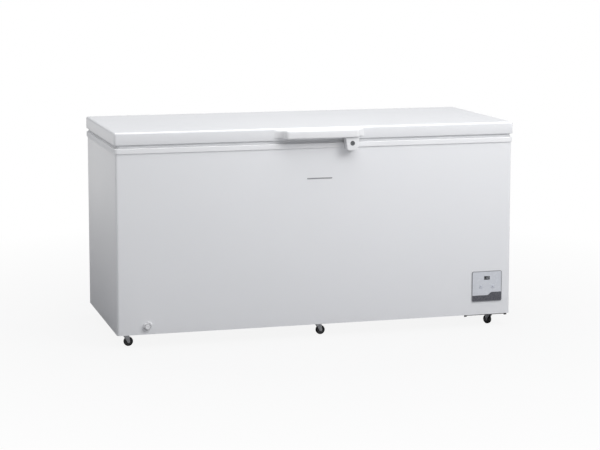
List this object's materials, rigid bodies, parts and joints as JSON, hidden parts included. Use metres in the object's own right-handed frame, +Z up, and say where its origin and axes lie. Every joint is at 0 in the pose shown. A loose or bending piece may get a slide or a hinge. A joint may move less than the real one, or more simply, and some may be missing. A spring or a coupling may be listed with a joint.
{
  "type": "chest freezer",
  "caption": "Large white chest freezer on swivel castors, with a hinged lid, bar handle with lock, front control panel, drain and lift-out baskets.",
  "frame": {"origin": "on the floor, under the middle of the whole object's box", "axes": "+X to the right of someone who faces the freezer, front towards -Y, +Z up"},
  "size_m": [1.64, 0.765, 0.845],
  "materials": {
    "white_paint": "smooth gloss white paint",
    "white_plastic": "satin moulded white plastic",
    "liner_metal": "embossed sheet",
    "foam": "rigid insulating foam, open cut faces",
    "zinc": "zinc plated sheet",
    "black_paint": "satin black paint",
    "black_plastic": "fine grained black plastic",
    "copper": "drawn copper tube",
    "grey_rubber": "soft matt grey",
    "panel_grey": "satin light grey foil",
    "bezel_grey": "dark grey plastic",
    "display_dark": "smoked window",
    "board_green": "lacquered circuit board",
    "basket_wire": "white coated wire",
    "castor_steel": "pressed grey steel",
    "tyre_black": "hard black tread"
  },
  "bodies": {
    "cabinet": {"outer_shell": "white_paint", "rear_panel": "zinc", "base_panel": "zinc", "inner_liner": "liner_metal", "cabinet_foam": "foam", "top_frame": "white_plastic", "compressor_tray": "black_paint", "compressor": "black_paint", "terminal_box": "black_plastic", "filter_drier": "copper", "discharge_line": "copper", "suction_line": "copper", "condenser_tube": "copper", "evaporator_tube": "copper", "side_vent": "white_plastic", "rear_cover": "zinc", "cord_gland": "black_plastic", "control_bezel": "bezel_grey", "control_face": "panel_grey", "display_window": "display_dark", "control_board": "board_green", "drain_pipe": "white_plastic", "hinge_base_left": "zinc", "hinge_base_right": "zinc", "hinge_spring_left": "zinc", "hinge_spring_right": "zinc", "lock_strike": "zinc", "castor_front_left_plate": "castor_steel", "castor_front_middle_plate": "castor_steel", "castor_front_right_plate": "castor_steel", "castor_rear_left_plate": "castor_steel", "castor_rear_middle_plate": "castor_steel", "castor_rear_right_plate": "castor_steel"},
    "lid": {"lid_shell": "white_paint", "lid_liner": "white_plastic", "lid_foam": "foam", "lid_gasket": "grey_rubber", "lid_handle": "white_plastic", "lock_housing": "white_plastic", "hinge_arm_left": "zinc", "hinge_arm_right": "zinc"},
    "lock_barrel": {"lock_barrel": "zinc"},
    "button_left": {"button_left": "panel_grey"},
    "button_right": {"button_right": "panel_grey"},
    "drain_cap": {"drain_cap": "white_plastic"},
    "liner_plug": {"liner_drain_plug": "grey_rubber"},
    "basket_left": {"basket_left": "basket_wire"},
    "basket_right": {"basket_right": "basket_wire"},
    "castor_front_left_fork": {"castor_front_left_fork": "castor_steel"},
    "castor_front_left_wheel": {"castor_front_left_wheel": "tyre_black"},
    "castor_front_middle_fork": {"castor_front_middle_fork": "castor_steel"},
    "castor_front_middle_wheel": {"castor_front_middle_wheel": "tyre_black"},
    "castor_front_right_fork": {"castor_front_right_fork": "castor_steel"},
    "castor_front_right_wheel": {"castor_front_right_wheel": "tyre_black"},
    "castor_rear_left_fork": {"castor_rear_left_fork": "castor_steel"},
    "castor_rear_left_wheel": {"castor_rear_left_wheel": "tyre_black"},
    "castor_rear_middle_fork": {"castor_rear_middle_fork": "castor_steel"},
    "castor_rear_middle_wheel": {"castor_rear_middle_wheel": "tyre_black"},
    "castor_rear_right_fork": {"castor_rear_right_fork": "castor_steel"},
    "castor_rear_right_wheel": {"castor_rear_right_wheel": "tyre_black"}
  },
  "joints": [
    {"name": "lid_hinge", "type": "hinge", "parent": "cabinet", "child": "lid", "pos_m": [0, 0.3685, 0.79], "axis": [-1, 0, 0], "range_deg": [0, 80]},
    {"name": "lock_turn", "type": "hinge", "parent": "lid", "child": "lock_barrel", "pos_m": [0.125, -0.3735, 0.781], "axis": [0, 1, 0], "range_deg": [0, 90]},
    {"name": "button_left_press", "type": "slide", "parent": "cabinet", "child": "button_left", "axis": [0, 1, 0], "range_m": [0, 0.001], "stiffness_N_per_m": 400},
    {"name": "button_right_press", "type": "slide", "parent": "cabinet", "child": "button_right", "axis": [0, 1, 0], "range_m": [0, 0.001], "stiffness_N_per_m": 400},
    {"name": "drain_cap_pull", "type": "slide", "parent": "cabinet", "child": "drain_cap", "axis": [0, -1, 0], "range_m": [0, 0.025]},
    {"name": "liner_plug_lift", "type": "slide", "parent": "cabinet", "child": "liner_plug", "axis": [0, 0, 1], "range_m": [0, 0.02]},
    {"name": "basket_left_slide", "type": "slide", "parent": "cabinet", "child": "basket_left", "axis": [1, 0, 0], "range_m": [-0.04, 0.35]},
    {"name": "basket_right_slide", "type": "slide", "parent": "cabinet", "child": "basket_right", "axis": [1, 0, 0], "range_m": [-0.35, 0.04]},
    {"name": "castor_front_left_swivel", "type": "hinge", "parent": "cabinet", "child": "castor_front_left_fork", "pos_m": [-0.7735, -0.2835, 0.0517], "axis": [0, 0, 1], "continuous": true},
    {"name": "castor_front_left_roll", "type": "hinge", "parent": "castor_front_left_fork", "child": "castor_front_left_wheel", "pos_m": [-0.7648, -0.2835, 0.01852], "axis": [0, 1, 0], "continuous": true},
    {"name": "castor_front_middle_swivel", "type": "hinge", "parent": "cabinet", "child": "castor_front_middle_fork", "pos_m": [0.0093, -0.2835, 0.0517], "axis": [0, 0, 1], "continuous": true},
    {"name": "castor_front_middle_roll", "type": "hinge", "parent": "castor_front_middle_fork", "child": "castor_front_middle_wheel", "pos_m": [0.018, -0.2835, 0.01852], "axis": [0, 1, 0], "continuous": true},
    {"name": "castor_front_right_swivel", "type": "hinge", "parent": "cabinet", "child": "castor_front_right_fork", "pos_m": [0.7463, -0.2835, 0.0517], "axis": [0, 0, 1], "continuous": true},
    {"name": "castor_front_right_roll", "type": "hinge", "parent": "castor_front_right_fork", "child": "castor_front_right_wheel", "pos_m": [0.74262, -0.27562, 0.01852], "axis": [-0.9063, -0.4226, 0], "continuous": true},
    {"name": "castor_rear_left_swivel", "type": "hinge", "parent": "cabinet", "child": "castor_rear_left_fork", "pos_m": [-0.7735, 0.2985, 0.0517], "axis": [0, 0, 1], "continuous": true},
    {"name": "castor_rear_left_roll", "type": "hinge", "parent": "castor_rear_left_fork", "child": "castor_rear_left_wheel", "pos_m": [-0.76506, 0.3006, 0.01852], "axis": [-0.2419, 0.9703, 0], "continuous": true},
    {"name": "castor_rear_middle_swivel", "type": "hinge", "parent": "cabinet", "child": "castor_rear_middle_fork", "pos_m": [0.0093, 0.2985, 0.0517], "axis": [0, 0, 1], "continuous": true},
    {"name": "castor_rear_middle_roll", "type": "hinge", "parent": "castor_rear_middle_fork", "child": "castor_rear_middle_wheel", "pos_m": [0.01748, 0.29552, 0.01852], "axis": [0.342, 0.9397, 0], "continuous": true},
    {"name": "castor_rear_right_swivel", "type": "hinge", "parent": "cabinet", "child": "castor_rear_right_fork", "pos_m": [0.7463, 0.2985, 0.0517], "axis": [0, 0, 1], "continuous": true},
    {"name": "castor_rear_right_roll", "type": "hinge", "parent": "castor_rear_right_fork", "child": "castor_rear_right_wheel", "pos_m": [0.74928, 0.30668, 0.01852], "axis": [-0.9397, 0.342, 0], "continuous": true}
  ]
}
